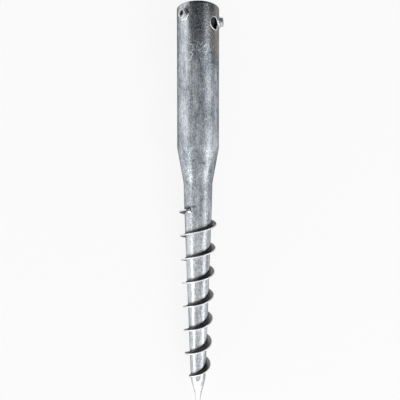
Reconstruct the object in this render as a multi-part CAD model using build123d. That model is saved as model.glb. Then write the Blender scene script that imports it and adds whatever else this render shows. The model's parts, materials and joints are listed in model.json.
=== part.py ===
"""Foundation ground screw: a swaged steel tube with a welded helical flight.

Every length is in millimetres. The screw is built along its own axis, with x
measured from the socket mouth towards the tip and azimuth measured about the
axis from the top of the lying screw towards +Y. It is then tilted to the
angle at which it lies on a flat floor, with one clamp nut and the first turn
of the flight touching the ground. The origin is the centre of the socket
mouth, and +Z is up.
"""
from build123d import *
from math import atan2, cos, degrees, radians, sin, sqrt, tan
import os

# Tube: a straight socket, a swaged cone, a neck and a long slow taper.
TUBE_DIAMETER = 68.0
TUBE_WALL = 2.5
SOCKET_LENGTH = 221.0
SWAGE_LENGTH = 57.0
SHOULDER_BLEND = 30.0
NECK_BLEND = 45.0
NECK_DIAMETER = 47.2
NECK_LENGTH = 32.0
NECK_END_DIAMETER = 46.0
TAPER_LENGTH = 295.0
TAPER_END_DIAMETER = 24.6
SHAFT_WALL = 3.0
MOUTH_CHAMFER = 0.5

# Forged point: the tube closed to a solid cone with a short blunt nose.
POINT_CONE_LENGTH = 33.0
POINT_CONE_END_DIAMETER = 7.9
POINT_NOSE_LENGTH = 12.0
POINT_NOSE_DIAMETER = 6.8
POINT_NOSE_ROUND = 2.6
POINT_BLEND = 16.0
HOLLOW_END_ROUND = 6.0

# Helical flight, right-handed, on the tapered part of the shaft.
FLIGHT_PITCH = 39.5
FLIGHT_TURNS = 7.14
FLIGHT_WIDTH = 8.8
FLIGHT_THICKNESS = 2.2
FLIGHT_START = 11.0
FLIGHT_START_AZIMUTH = -59.0
FLIGHT_RUNOUT = 24.0
FLIGHT_RUNOUT_WIDTH = 2.2
ROOT_WELD_LEG = 2.8
WELD_SEAM = 0.02

# Clamp nuts, welded over clearance holes near the mouth.
NUT_AZIMUTH = -60.0
NUT_POSITIONS = (18.5, 22.0, 20.0)
NUT_ACROSS_FLATS = 13.0
NUT_HEIGHT = 6.5
NUT_TURN = 30.0
NUT_BORE_DIAMETER = 6.65
NUT_CHAMFER_ANGLE = 30.0
NUT_FACE_RATIO = 0.95
CLAMP_HOLE_DIAMETER = 9.0
NUT_WELD_LEG = 2.6
NUT_WELD_HEIGHT = 2.4
NUT_WELD_FULLNESS = 0.8

# Cross holes for the driving bar.
BAR_HOLE_DIAMETER = 19.0
BAR_HOLE_POSITION = 29.5
BAR_HOLE_AZIMUTH = 29.0

# Weld nugget that closes the upper end of the flight.
NUGGET_RADIUS = 4.4
NUGGET_FULLNESS = 0.8

# How far every cutting body runs past what it cuts.
OVERCUT = 10.0

# Derived sizes.
TUBE_RADIUS = TUBE_DIAMETER / 2
SOCKET_RADIUS = TUBE_RADIUS - TUBE_WALL
NECK_X = SOCKET_LENGTH + SWAGE_LENGTH
TAPER_X = NECK_X + NECK_LENGTH
POINT_X = TAPER_X + TAPER_LENGTH
NOSE_X = POINT_X + POINT_CONE_LENGTH
LENGTH = NOSE_X + POINT_NOSE_LENGTH
TAPER_SLOPE = (NECK_END_DIAMETER - TAPER_END_DIAMETER) / 2 / TAPER_LENGTH
FLIGHT_X = TAPER_X + FLIGHT_START
FLIGHT_LENGTH = FLIGHT_PITCH * FLIGHT_TURNS
FLIGHT_END_X = FLIGHT_X + FLIGHT_LENGTH
NUGGET_X = FLIGHT_X - FLIGHT_THICKNESS + NUGGET_RADIUS
NUT_FACE = TUBE_RADIUS + NUT_HEIGHT


def taper_radius(x):
    """Outer radius of the shaft at x on its tapered length."""
    return NECK_END_DIAMETER / 2 - TAPER_SLOPE * (x - TAPER_X)


def outward(azimuth):
    """Unit vector that points away from the axis at an azimuth in degrees."""
    return Vector(0, sin(radians(azimuth)), cos(radians(azimuth)))


def radial_plane(x, azimuth, radius):
    """Plane whose normal points outwards, at a station, azimuth and radius."""
    normal = outward(azimuth)
    return Plane(origin=Vector(x, 0, 0) + normal * radius, x_dir=(1, 0, 0), z_dir=normal)


def revolved(points, blends):
    """Turn an (x, radius) outline about the axis, rounding the corners named in blends."""
    face = make_face(Polyline(*points, close=True))
    for index, radius in blends:
        corner = face.vertices().sort_by_distance(Vector(*points[index], 0))[0]
        face = fillet(corner, radius)
    return revolve(face, Axis.X, 360)


def shaft_envelope():
    """The whole tube as if it were solid, mouth to point."""
    outline = [
        (0, 0),
        (0, TUBE_RADIUS),
        (SOCKET_LENGTH, TUBE_RADIUS),
        (NECK_X, NECK_DIAMETER / 2),
        (TAPER_X, NECK_END_DIAMETER / 2),
        (POINT_X, TAPER_END_DIAMETER / 2),
        (NOSE_X, POINT_CONE_END_DIAMETER / 2),
        (LENGTH, POINT_NOSE_DIAMETER / 2),
        (LENGTH, 0),
    ]
    blends = [
        (2, SHOULDER_BLEND),
        (3, NECK_BLEND),
        (5, POINT_BLEND),
        (7, POINT_NOSE_ROUND),
    ]
    return revolved(outline, blends)


def shaft_hollow():
    """The space inside the tube, which ends where the point is forged shut."""
    outline = [
        (0, 0),
        (0, SOCKET_RADIUS),
        (SOCKET_LENGTH, SOCKET_RADIUS),
        (NECK_X, NECK_DIAMETER / 2 - SHAFT_WALL),
        (TAPER_X, NECK_END_DIAMETER / 2 - SHAFT_WALL),
        (POINT_X, TAPER_END_DIAMETER / 2 - SHAFT_WALL),
        (POINT_X, 0),
    ]
    blends = [
        (2, SHOULDER_BLEND - TUBE_WALL),
        (3, NECK_BLEND),
        (5, HOLLOW_END_ROUND),
    ]
    return revolved(outline, blends)


def nut_seats():
    """Station and azimuth of each clamp nut, evenly spaced round the tube."""
    step = 360 / len(NUT_POSITIONS)
    return [(x, NUT_AZIMUTH + step * k) for k, x in enumerate(NUT_POSITIONS)]


def shaft_tube():
    """The tube, with its clamp holes, driving-bar holes and forged point."""
    tube = shaft_envelope() - shaft_hollow()
    outer_rim = tube.edges().group_by(Axis.X)[0].sort_by(SortBy.LENGTH)[-1]
    tube = chamfer(outer_rim, MOUTH_CHAMFER)
    bar_hole = Cylinder(BAR_HOLE_DIAMETER / 2, TUBE_DIAMETER + 2 * OVERCUT)
    tube -= radial_plane(BAR_HOLE_POSITION, BAR_HOLE_AZIMUTH, 0).location * bar_hole
    clamp_hole = Cylinder(CLAMP_HOLE_DIAMETER / 2, 2 * OVERCUT)
    for x, azimuth in nut_seats():
        tube -= radial_plane(x, azimuth, TUBE_RADIUS).location * clamp_hole
    return tube


def hexagon(across_flats):
    """Hexagon with two flats facing along the screw's axis."""
    return RegularPolygon(across_flats / 2, 6, major_radius=False, rotation=NUT_TURN)


def clamp_nut(x, azimuth):
    """One hexagon nut, chamfered on its outer face, standing on the tube."""
    body = extrude(hexagon(NUT_ACROSS_FLATS), NUT_HEIGHT)
    face_radius = NUT_ACROSS_FLATS / 2 * NUT_FACE_RATIO
    drop = NUT_HEIGHT * tan(radians(NUT_CHAMFER_ANGLE))
    cone = Pos(0, 0, NUT_HEIGHT) * Cone(
        face_radius + NUT_HEIGHT, face_radius, drop, align=(Align.CENTER, Align.CENTER, Align.MAX)
    )
    rest = Cylinder(NUT_ACROSS_FLATS, NUT_HEIGHT - drop, align=(Align.CENTER, Align.CENTER, Align.MIN))
    body &= cone + rest
    bore = Cylinder(NUT_BORE_DIAMETER / 2, 2 * (NUT_HEIGHT + OVERCUT))
    return radial_plane(x, azimuth, TUBE_RADIUS).location * (body - bore)


def nut_weld(x, azimuth):
    """Weld bead that runs round the foot of one nut, between its sides and the tube."""
    reach = NUT_ACROSS_FLATS / sqrt(3) + NUT_WELD_LEG
    sag = TUBE_RADIUS - sqrt(TUBE_RADIUS**2 - reach**2)
    foot = offset(hexagon(NUT_ACROSS_FLATS), NUT_WELD_LEG, kind=Kind.ARC)
    slope = degrees(atan2(NUT_WELD_LEG, NUT_WELD_HEIGHT)) * NUT_WELD_FULLNESS
    bead = extrude(foot, NUT_WELD_HEIGHT, taper=slope) + extrude(foot, -sag)
    bead -= extrude(hexagon(NUT_ACROSS_FLATS), NUT_HEIGHT, both=True)
    placed = radial_plane(x, azimuth, TUBE_RADIUS).location * bead
    return placed - Pos(x, 0, 0) * Rot(0, 90, 0) * Cylinder(TUBE_RADIUS, TUBE_DIAMETER)


def flight_frame():
    """Plane at the tip end of the flight, its normal towards the mouth."""
    end_azimuth = FLIGHT_START_AZIMUTH - 360 * FLIGHT_TURNS
    return Plane(origin=(FLIGHT_END_X, 0, 0), x_dir=outward(end_azimuth), z_dir=(-1, 0, 0))


def helical_band(section):
    """Solid band that follows the flight, for a section of (height above shaft, advance) corners.

    Each corner traces a helix on the taper's own cone angle, so the band keeps
    its section and its distance from the shaft from end to end.
    """
    cone_angle = degrees(atan2(TAPER_SLOPE, 1))
    root = taper_radius(FLIGHT_END_X)
    traces = []
    for height, advance in section:
        radius = root + height + TAPER_SLOPE * advance
        trace = Helix(FLIGHT_PITCH, FLIGHT_LENGTH, radius, center=(0, 0, advance), cone_angle=cone_angle)
        traces.append(trace)
    following = traces[1:] + traces[:1]
    sides = [Face.make_surface_from_curves(a, b) for a, b in zip(traces, following)]
    caps = [Face(Wire.make_polygon([trace @ end for trace in traces])) for end in (0, 1)]
    return flight_frame().location * Solid(Shell(sides + caps))


def flight_runout():
    """Body that the flight keeps inside: full width first, then narrowing to its end."""
    full = taper_radius(FLIGHT_X) + FLIGHT_WIDTH * 2
    narrow_x = FLIGHT_END_X - FLIGHT_RUNOUT
    end_x = FLIGHT_END_X + FLIGHT_THICKNESS
    outline = [
        (FLIGHT_X - FLIGHT_PITCH, 0),
        (FLIGHT_X - FLIGHT_PITCH, full),
        (narrow_x, full),
        (narrow_x, taper_radius(narrow_x) + FLIGHT_WIDTH),
        (end_x, taper_radius(end_x) + FLIGHT_RUNOUT_WIDTH),
        (end_x, 0),
    ]
    return revolved(outline, [])


def helical_flight():
    """The screw's blade: one strip wound on the taper, cut away at its lower end."""
    inner = WELD_SEAM
    section = [
        (inner, 0),
        (FLIGHT_WIDTH, 0),
        (FLIGHT_WIDTH, FLIGHT_THICKNESS),
        (inner, FLIGHT_THICKNESS),
    ]
    return helical_band(section) & flight_runout()


def flight_root_weld():
    """Fillet weld along the mouth side of the flight's root."""
    face = FLIGHT_THICKNESS + WELD_SEAM
    section = [
        (WELD_SEAM, face),
        (ROOT_WELD_LEG, face),
        (WELD_SEAM, face + ROOT_WELD_LEG),
    ]
    return helical_band(section) & flight_runout()


def flight_start_weld():
    """Nugget of weld against the flight's upper end, cut to fit the shaft and the strip."""
    root = taper_radius(NUGGET_X)
    dome = scale(Sphere(NUGGET_RADIUS), by=(1, 1, NUGGET_FULLNESS))
    nugget = radial_plane(NUGGET_X, FLIGHT_START_AZIMUTH, root).location * dome
    strip_and_bead = [
        (-OVERCUT, -WELD_SEAM),
        (FLIGHT_WIDTH + OVERCUT, -WELD_SEAM),
        (FLIGHT_WIDTH + OVERCUT, FLIGHT_THICKNESS + OVERCUT),
        (-OVERCUT, FLIGHT_THICKNESS + OVERCUT),
    ]
    return nugget - helical_band(strip_and_bead) - shaft_envelope()


def lift_to_rest():
    """Tilt in degrees at which a nut's face and the flight's first turn both touch the floor."""
    past_start = (FLIGHT_START_AZIMUTH + 180) / 360 * FLIGHT_PITCH
    flight_x = FLIGHT_X + past_start
    flight_radius = taper_radius(flight_x) + FLIGHT_WIDTH
    nut_x = NUT_POSITIONS[-1] + NUT_ACROSS_FLATS / 2 * NUT_FACE_RATIO
    return degrees(atan2(NUT_FACE - flight_radius, flight_x - nut_x))


def build():
    """All pieces by name, lying as the screw comes to rest."""
    pieces = {
        "shaft_tube": shaft_tube(),
        "helical_flight": helical_flight(),
        "flight_root_weld": flight_root_weld(),
        "flight_start_weld": flight_start_weld(),
    }
    for number, (x, azimuth) in enumerate(nut_seats(), start=1):
        pieces[f"clamp_nut_{number}"] = clamp_nut(x, azimuth)
        pieces[f"nut_weld_{number}"] = nut_weld(x, azimuth)
    rest = Rot(0, lift_to_rest(), 0)
    return {name: rest * piece for name, piece in pieces.items()}


os.makedirs("parts", exist_ok=True)
for name, piece in build().items():
    export_step(piece, f"parts/{name}.step")
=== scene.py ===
"""Looks of the foundation ground screw: hot-dip galvanised steel, lying on a pale floor.

Every shape is built along the screw's own axis, with x measured from the socket
mouth towards the point and azimuth measured about the axis from the top of the
lying screw towards +Y. RestFrame then tilts it to where the screw lies. Lengths
are in metres.
"""

from __future__ import annotations

import json
import logging
import math
from dataclasses import dataclass
from enum import Enum

import bmesh
import bpy
from mathutils import Matrix, Vector, noise

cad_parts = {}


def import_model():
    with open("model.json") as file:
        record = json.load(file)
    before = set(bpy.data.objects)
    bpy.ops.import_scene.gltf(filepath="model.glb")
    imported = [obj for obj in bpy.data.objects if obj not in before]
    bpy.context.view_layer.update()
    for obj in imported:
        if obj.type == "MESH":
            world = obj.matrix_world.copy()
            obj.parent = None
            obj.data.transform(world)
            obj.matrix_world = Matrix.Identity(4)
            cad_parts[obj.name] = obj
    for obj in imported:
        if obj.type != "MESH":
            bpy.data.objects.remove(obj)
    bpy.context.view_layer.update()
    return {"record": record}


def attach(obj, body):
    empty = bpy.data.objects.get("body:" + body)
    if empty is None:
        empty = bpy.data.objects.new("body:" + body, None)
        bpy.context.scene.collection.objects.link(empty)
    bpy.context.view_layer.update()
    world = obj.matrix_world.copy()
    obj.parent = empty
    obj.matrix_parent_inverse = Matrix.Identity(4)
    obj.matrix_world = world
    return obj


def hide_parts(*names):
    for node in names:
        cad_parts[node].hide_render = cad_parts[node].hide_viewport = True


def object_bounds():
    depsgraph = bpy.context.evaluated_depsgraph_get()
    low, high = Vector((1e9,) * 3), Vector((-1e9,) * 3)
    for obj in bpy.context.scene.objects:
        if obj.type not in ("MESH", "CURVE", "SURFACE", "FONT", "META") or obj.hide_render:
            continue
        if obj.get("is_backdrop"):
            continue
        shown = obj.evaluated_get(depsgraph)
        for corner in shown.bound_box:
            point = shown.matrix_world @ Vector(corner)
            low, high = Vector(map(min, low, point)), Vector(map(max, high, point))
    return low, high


MM = 0.001
AXIS = Vector((1.0, 0.0, 0.0))
UPRIGHT = Vector((0.0, 0.0, 1.0))
LOG = logging.getLogger("ground_screw")


class Slot(Enum):
    """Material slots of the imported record."""

    TUBE = "tube_zinc"
    FLIGHT = "flight_zinc"
    NUT = "nut_zinc"
    WELD = "weld_zinc"


# ---------------------------------------------------------------------------
# Where the screw lies, and its sizes
# ---------------------------------------------------------------------------


@dataclass(frozen=True)
class RestFrame:
    """The screw's own axis as it lies in the shared frame.

    Attributes:
        mouth: Centre of the socket mouth.
        dip: Angle in radians by which the axis dips towards the point.
    """

    mouth: Vector
    dip: float

    @classmethod
    def from_record(cls, record: dict) -> RestFrame:
        """Read the axis from the socket mount, which points out of the mouth.

        Args:
            record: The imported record.

        Returns:
            The frame of the lying screw.
        """
        socket = mount(record, "socket")
        out = Vector(socket["axis"])
        return cls(Vector(socket["pos_m"]), math.atan2(out.z, -out.x))

    def matrix(self) -> Matrix:
        """Transform from the screw's own axis to the shared frame."""
        return Matrix.Translation(self.mouth) @ Matrix.Rotation(self.dip, 4, "Y")

    def place(self, bm: bmesh.types.BMesh) -> None:
        """Move a mesh built on the screw's own axis to where it lies.

        Args:
            bm: The mesh to move.
        """
        bmesh.ops.transform(bm, matrix=self.matrix(), verts=bm.verts)

    def local(self, point: Vector) -> Vector:
        """Give a point of the shared frame in the screw's own axes."""
        return self.matrix().inverted() @ point


def mount(record: dict, name: str) -> dict:
    """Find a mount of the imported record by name.

    Args:
        record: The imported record.
        name: The mount's name.

    Returns:
        The mount's entry.
    """
    return next(entry for entry in record["mounts"] if entry["name"] == name)


def outward(azimuth: float) -> Vector:
    """Unit vector away from the axis at an azimuth in degrees."""
    angle = math.radians(azimuth)
    return Vector((0.0, math.sin(angle), math.cos(angle)))


def seat(x: float, azimuth: float, radius: float) -> Matrix:
    """Frame of a small piece that stands on the tube.

    Args:
        x: Station along the axis.
        azimuth: Azimuth in degrees.
        radius: Distance of the frame's origin from the axis.

    Returns:
        A matrix whose local X runs along the axis and whose local Z points outwards.
    """
    normal = outward(azimuth)
    turn = Matrix((AXIS, normal.cross(AXIS), normal)).transposed().to_4x4()
    return Matrix.Translation(Vector((x, 0.0, 0.0)) + normal * radius) @ turn


def azimuth_of(point: Vector) -> float:
    """Azimuth in degrees of a point in the screw's own axes."""
    return math.degrees(math.atan2(point.y, point.z))


def turn_from(start: float, azimuth: float) -> float:
    """Signed turn in degrees from one azimuth to another, the shorter way round."""
    return (azimuth - start + 180.0) % 360.0 - 180.0


def unit(value: float) -> float:
    """Hold a value between zero and one."""
    return min(max(value, 0.0), 1.0)


@dataclass(frozen=True)
class ScrewSizes:
    """Driving sizes of the screw, as the construction has them."""

    tube_radius: float = 34.0 * MM
    tube_wall: float = 2.5 * MM
    socket_length: float = 221.0 * MM
    swage_length: float = 57.0 * MM
    shoulder_blend: float = 30.0 * MM
    neck_blend: float = 45.0 * MM
    neck_radius: float = 23.6 * MM
    neck_length: float = 32.0 * MM
    neck_end_radius: float = 23.0 * MM
    taper_length: float = 295.0 * MM
    taper_end_radius: float = 12.3 * MM
    shaft_wall: float = 3.0 * MM
    cone_length: float = 33.0 * MM
    cone_end_radius: float = 3.95 * MM
    nose_length: float = 12.0 * MM
    nose_radius: float = 3.4 * MM
    nose_round: float = 2.6 * MM
    point_blend: float = 16.0 * MM
    flight_pitch: float = 39.5 * MM
    flight_turns: float = 7.14
    flight_width: float = 8.8 * MM
    flight_thickness: float = 2.2 * MM
    flight_start: float = 11.0 * MM
    flight_start_azimuth: float = -59.0
    flight_runout: float = 24.0 * MM
    flight_runout_width: float = 2.2 * MM
    weld_leg: float = 2.8 * MM

    @property
    def neck_x(self) -> float:
        """End of the swaged cone."""
        return self.socket_length + self.swage_length

    @property
    def taper_x(self) -> float:
        """Start of the long taper."""
        return self.neck_x + self.neck_length

    @property
    def point_x(self) -> float:
        """Start of the forged point."""
        return self.taper_x + self.taper_length

    @property
    def nose_x(self) -> float:
        """Start of the blunt nose."""
        return self.point_x + self.cone_length

    @property
    def length(self) -> float:
        """Whole length of the screw."""
        return self.nose_x + self.nose_length

    @property
    def flight_x(self) -> float:
        """Start of the flight."""
        return self.taper_x + self.flight_start

    @property
    def flight_end_x(self) -> float:
        """Lower end of the flight."""
        return self.flight_x + self.flight_pitch * self.flight_turns

    def taper_radius(self, x: float) -> float:
        """Outer radius of the shaft at a station of its long taper."""
        share = (x - self.taper_x) / self.taper_length
        return self.neck_end_radius + (self.taper_end_radius - self.neck_end_radius) * share

    def flight_reach(self, x: float) -> float:
        """Width of the flight above the shaft at a station, narrowing to its lower end."""
        narrow_x = self.flight_end_x - self.flight_runout
        if x <= narrow_x:
            return self.flight_width
        share = min((x - narrow_x) / (self.flight_runout + self.flight_thickness), 1.0)
        return self.flight_width + (self.flight_runout_width - self.flight_width) * share


# ---------------------------------------------------------------------------
# Mesh helpers
# ---------------------------------------------------------------------------


def rounded_outline(corners: list[tuple[float, float, float]], step: float) -> list[Vector]:
    """Walk an (x, radius) outline, rounding its corners and keeping points a step apart.

    Args:
        corners: Corners as (x, radius, rounding); a rounding of zero keeps the corner.
        step: Longest distance between two points of the result.

    Returns:
        The points of the open outline.
    """
    path: list[Vector] = []
    for index, (x, radius, blend) in enumerate(corners):
        here = Vector((x, 0.0, radius))
        if blend <= 0.0 or index in (0, len(corners) - 1):
            path.append(here)
            continue
        back = (Vector((corners[index - 1][0], 0.0, corners[index - 1][1])) - here).normalized()
        ahead = (Vector((corners[index + 1][0], 0.0, corners[index + 1][1])) - here).normalized()
        half = back.angle(ahead) / 2
        reach = blend / math.tan(half)
        centre = here + (back + ahead).normalized() * (blend / math.sin(half))
        start = here + back * reach - centre
        end = here + ahead * reach - centre
        count = max(4, math.ceil(start.angle(end) * blend / step))
        path.extend(centre + start.slerp(end, k / count) * blend for k in range(count + 1))
    filled = [path[0]]
    for point in path[1:]:
        gap = (point - filled[-1]).length
        pieces = max(1, math.ceil(gap / step))
        origin = filled[-1].copy()
        filled.extend(origin.lerp(point, k / pieces) for k in range(1, pieces + 1))
    return filled


def full_turn(bm: bmesh.types.BMesh, geom: list, axis: Vector, steps: int) -> None:
    """Spin a profile once about an axis through the origin.

    Args:
        bm: The mesh that holds the profile.
        geom: The profile's vertices and edges.
        axis: Direction of the axis.
        steps: Number of steps in the turn.
    """
    bmesh.ops.spin(
        bm,
        geom=geom,
        cent=(0.0, 0.0, 0.0),
        axis=axis,
        dvec=(0.0, 0.0, 0.0),
        angle=math.tau,
        steps=steps,
        use_merge=True,
        use_duplicate=False,
    )


def spin_outline(points: list[Vector], steps: int, axis: Vector = AXIS) -> bmesh.types.BMesh:
    """Turn an outline about an axis into a closed skin.

    Args:
        points: Outline points with y zero, from axis to axis.
        steps: Number of steps in the full turn.
        axis: Direction of the axis.

    Returns:
        The new mesh.
    """
    bm = bmesh.new()
    verts = [bm.verts.new(point) for point in points]
    edges = [bm.edges.new(pair) for pair in zip(verts, verts[1:])]
    full_turn(bm, verts + edges, axis, steps)
    bmesh.ops.remove_doubles(bm, verts=bm.verts, dist=0.002 * MM)
    bmesh.ops.recalc_face_normals(bm, faces=bm.faces)
    return bm


def spin_ring(
    section_radius: float, segments: int, middle: Vector, steps: int
) -> bmesh.types.BMesh:
    """Turn a round section about the local Z into a ring.

    Args:
        section_radius: Radius of the section.
        segments: Corners of the section.
        middle: Middle of the section.
        steps: Number of steps in the full turn.

    Returns:
        The new mesh.
    """
    bm = bmesh.new()
    place = Matrix.Translation(middle) @ Matrix.Rotation(math.pi / 2, 4, "X")
    section = bmesh.ops.create_circle(bm, segments=segments, radius=section_radius, matrix=place)
    full_turn(bm, section["verts"] + list(bm.edges), UPRIGHT, steps)
    return bm


def roughen(bm: bmesh.types.BMesh, scale: float, depth: float) -> None:
    """Push the surface in and out unevenly.

    Args:
        bm: The mesh, round its origin.
        scale: Lumps per metre.
        depth: Greatest height of a lump.
    """
    for vert in bm.verts:
        vert.co += vert.co.normalized() * noise.noise(vert.co * scale) * depth


def to_object(
    name: str, bm: bmesh.types.BMesh, material: bpy.types.Material, sharp: float = 40.0
) -> bpy.types.Object:
    """Store a finished mesh as a smooth-shaded object and free the bmesh.

    Args:
        name: Name of the piece.
        bm: The mesh, already in its place.
        material: Its finish.
        sharp: Angle in degrees above which an edge stays sharp.

    Returns:
        The linked object, at the origin.
    """
    mesh = bpy.data.meshes.new(name)
    bm.to_mesh(mesh)
    bm.free()
    mesh.polygons.foreach_set("use_smooth", [True] * len(mesh.polygons))
    mesh.set_sharp_from_angle(angle=math.radians(sharp))
    mesh.materials.append(material)
    obj = bpy.data.objects.new(name, mesh)
    bpy.context.scene.collection.objects.link(obj)
    return obj


def cut(
    obj: bpy.types.Object, cutters: list[bmesh.types.BMesh], operation: str = "DIFFERENCE"
) -> None:
    """Cut solids out of an object, or keep only what they share, and store the result.

    Args:
        obj: The object to cut.
        cutters: Closed meshes; each is freed.
        operation: Name of the Boolean operation.
    """
    tools = []
    for index, bm in enumerate(cutters):
        mesh = bpy.data.meshes.new(f"{obj.name}_cutter_{index}")
        bm.to_mesh(mesh)
        bm.free()
        tool = bpy.data.objects.new(mesh.name, mesh)
        bpy.context.scene.collection.objects.link(tool)
        modifier = obj.modifiers.new(f"cut_{index}", "BOOLEAN")
        modifier.operation = operation
        modifier.solver = "EXACT"
        modifier.object = tool
        tools.append(tool)
    graph = bpy.context.evaluated_depsgraph_get()
    result = bpy.data.meshes.new_from_object(obj.evaluated_get(graph))
    obj.modifiers.clear()
    old = obj.data
    obj.data = result
    result.name = old.name
    bpy.data.meshes.remove(old)
    for tool in tools:
        mesh = tool.data
        bpy.data.objects.remove(tool)
        bpy.data.meshes.remove(mesh)


def rod(radius: float, length: float, place: Matrix, segments: int = 96) -> bmesh.types.BMesh:
    """A closed cylinder along the local Z of a frame, centred on its origin."""
    bm = bmesh.new()
    bmesh.ops.create_cone(
        bm,
        cap_ends=True,
        segments=segments,
        radius1=radius,
        radius2=radius,
        depth=length,
        matrix=place,
    )
    return bm


def wrap_on_tube(bm: bmesh.types.BMesh, radius: float) -> None:
    """Bend a flat ring, lying in its local XY plane, down onto a tube along local X.

    Args:
        bm: The ring, in local coordinates with Z outwards.
        radius: Radius of the tube that it lies on.
    """
    for vert in bm.verts:
        angle = vert.co.y / radius
        reach = radius + vert.co.z
        vert.co.y = math.sin(angle) * reach
        vert.co.z = math.cos(angle) * reach - radius


def hand_on(obj: bpy.types.Object, slot: Slot, *nodes: str) -> bpy.types.Object:
    """Let a piece ride on the body and stand for its solids.

    Args:
        obj: The finished piece.
        slot: The record's slot for its finish; not used.
        nodes: Names of the solids that it replaces.

    Returns:
        The same object.
    """
    if nodes:
        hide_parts(*nodes)
    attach(obj, "root")
    LOG.info("%s: %d faces", obj.name, len(obj.data.polygons))
    return obj


def lay_down(
    name: str,
    bm: bmesh.types.BMesh,
    rest: RestFrame,
    material: bpy.types.Material,
    slot: Slot,
    *nodes: str,
    sharp: float = 40.0,
) -> bpy.types.Object:
    """Lay a mesh built on the screw's own axis where the screw lies, and hand it on.

    Args:
        name: Name of the piece.
        bm: The mesh; it is freed.
        rest: Where the screw lies.
        material: The piece's finish.
        slot: The record's slot for its finish.
        nodes: Names of the solids that it replaces.
        sharp: Angle in degrees above which an edge stays sharp.

    Returns:
        The finished piece.
    """
    rest.place(bm)
    return hand_on(to_object(name, bm, material, sharp), slot, *nodes)


# ---------------------------------------------------------------------------
# Finishes
# ---------------------------------------------------------------------------


def feed(tree: bpy.types.NodeTree, socket: bpy.types.NodeSocket, value: object) -> None:
    """Link another node's output to a socket, or give the socket a plain value.

    Args:
        tree: The nodes that the socket belongs to.
        socket: The input to feed.
        value: An output socket, a number, a vector or a colour.
    """
    if isinstance(value, bpy.types.NodeSocket):
        tree.links.new(value, socket)
    else:
        socket.default_value = value


class NodeKit:
    """Small helper that adds nodes to a tree and links them."""

    def __init__(self, tree: bpy.types.NodeTree) -> None:
        """Work on a tree.

        Args:
            tree: The nodes to add to.
        """
        self.tree = tree

    def node(self, kind: str, inputs: dict | None = None, **values: object) -> bpy.types.Node:
        """Add a node.

        Args:
            kind: Blender's name of the node type.
            inputs: Sockets or plain values for its inputs, by name or number.
            values: Its plain properties.

        Returns:
            The new node.
        """
        made = self.tree.nodes.new(kind)
        for key, value in values.items():
            setattr(made, key, value)
        for name, value in (inputs or {}).items():
            feed(self.tree, made.inputs[name], value)
        return made

    def math(
        self, operation: str, first: object, second: object, clamp: bool = False
    ) -> bpy.types.NodeSocket:
        """Add a Math node; each operand is a socket or a number."""
        operands = {0: first, 1: second}
        made = self.node("ShaderNodeMath", operands, operation=operation, use_clamp=clamp)
        return made.outputs[0]

    def shares(self, *parts: tuple[bpy.types.NodeSocket, float]) -> bpy.types.NodeSocket:
        """Add up values, each with its own share."""
        total: object = 0.0
        for value, share in parts:
            total = self.math("ADD", total, self.math("MULTIPLY", value, share))
        return total

    def remap(
        self, value: bpy.types.NodeSocket, curve: str = "LINEAR", **ends: object
    ) -> bpy.types.NodeSocket:
        """Map a value between ends named From_Min, From_Max, To_Min and To_Max."""
        inputs = {name.replace("_", " "): end for name, end in ends.items()}
        inputs["Value"] = value
        return self.node("ShaderNodeMapRange", inputs, interpolation_type=curve).outputs["Result"]

    def blend(self, factor: object, first: object, second: object) -> bpy.types.NodeSocket:
        """Mix two colours."""
        inputs = {0: factor, 6: first, 7: second}
        return self.node("ShaderNodeMix", inputs, data_type="RGBA").outputs[2]

    def mark(self, name: str) -> bpy.types.NodeSocket:
        """Read one of the mesh's own marks."""
        return self.node("ShaderNodeAttribute", attribute_name=name).outputs["Fac"]

    def channel(self, colour: bpy.types.NodeSocket, index: int) -> bpy.types.NodeSocket:
        """Take one channel of a colour."""
        return self.node("ShaderNodeSeparateColor", {0: colour}).outputs[index]

    def drawn_out(self, vector: bpy.types.NodeSocket, stretch: float) -> bpy.types.NodeSocket:
        """Scale coordinates along the screw only."""
        inputs = {"Vector": vector, "Scale": (stretch, 1.0, 1.0)}
        return self.node("ShaderNodeMapping", inputs).outputs[0]

    def effect(self, group: bpy.types.NodeTree, **inputs: object) -> bpy.types.Node:
        """Place a shared group and feed its named inputs."""
        made = self.node("ShaderNodeGroup", node_tree=group)
        for name, value in inputs.items():
            feed(self.tree, made.inputs[name], value)
        return made


class GroupBuilder(NodeKit):
    """Helper that makes a shader node group with named inputs and outputs."""

    def __init__(self, name: str) -> None:
        """Start an empty group.

        Args:
            name: Name of the group.
        """
        super().__init__(bpy.data.node_groups.new(name, "ShaderNodeTree"))
        self.entry = self.tree.nodes.new("NodeGroupInput")
        self.exit = self.tree.nodes.new("NodeGroupOutput")

    def takes(self, name: str, default: float = 0.0) -> bpy.types.NodeSocket:
        """Add a named number as an input and return its socket inside the group."""
        self._input(name, "NodeSocketFloat").default_value = default
        return self.entry.outputs[name]

    def takes_vector(self, name: str) -> bpy.types.NodeSocket:
        """Add a named vector as an input and return its socket inside the group."""
        self._input(name, "NodeSocketVector")
        return self.entry.outputs[name]

    def takes_colour(self, name: str) -> bpy.types.NodeSocket:
        """Add a named colour as an input and return its socket inside the group."""
        self._input(name, "NodeSocketColor")
        return self.entry.outputs[name]

    def _input(self, name: str, kind: str) -> bpy.types.NodeTreeInterfaceSocket:
        """Add an input of one kind."""
        return self.tree.interface.new_socket(name=name, in_out="INPUT", socket_type=kind)

    def gives(
        self, name: str, source: bpy.types.NodeSocket, kind: str = "NodeSocketFloat"
    ) -> None:
        """Add a named output fed by a socket."""
        self.tree.interface.new_socket(name=name, in_out="OUTPUT", socket_type=kind)
        feed(self.tree, self.exit.inputs[name], source)


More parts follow.
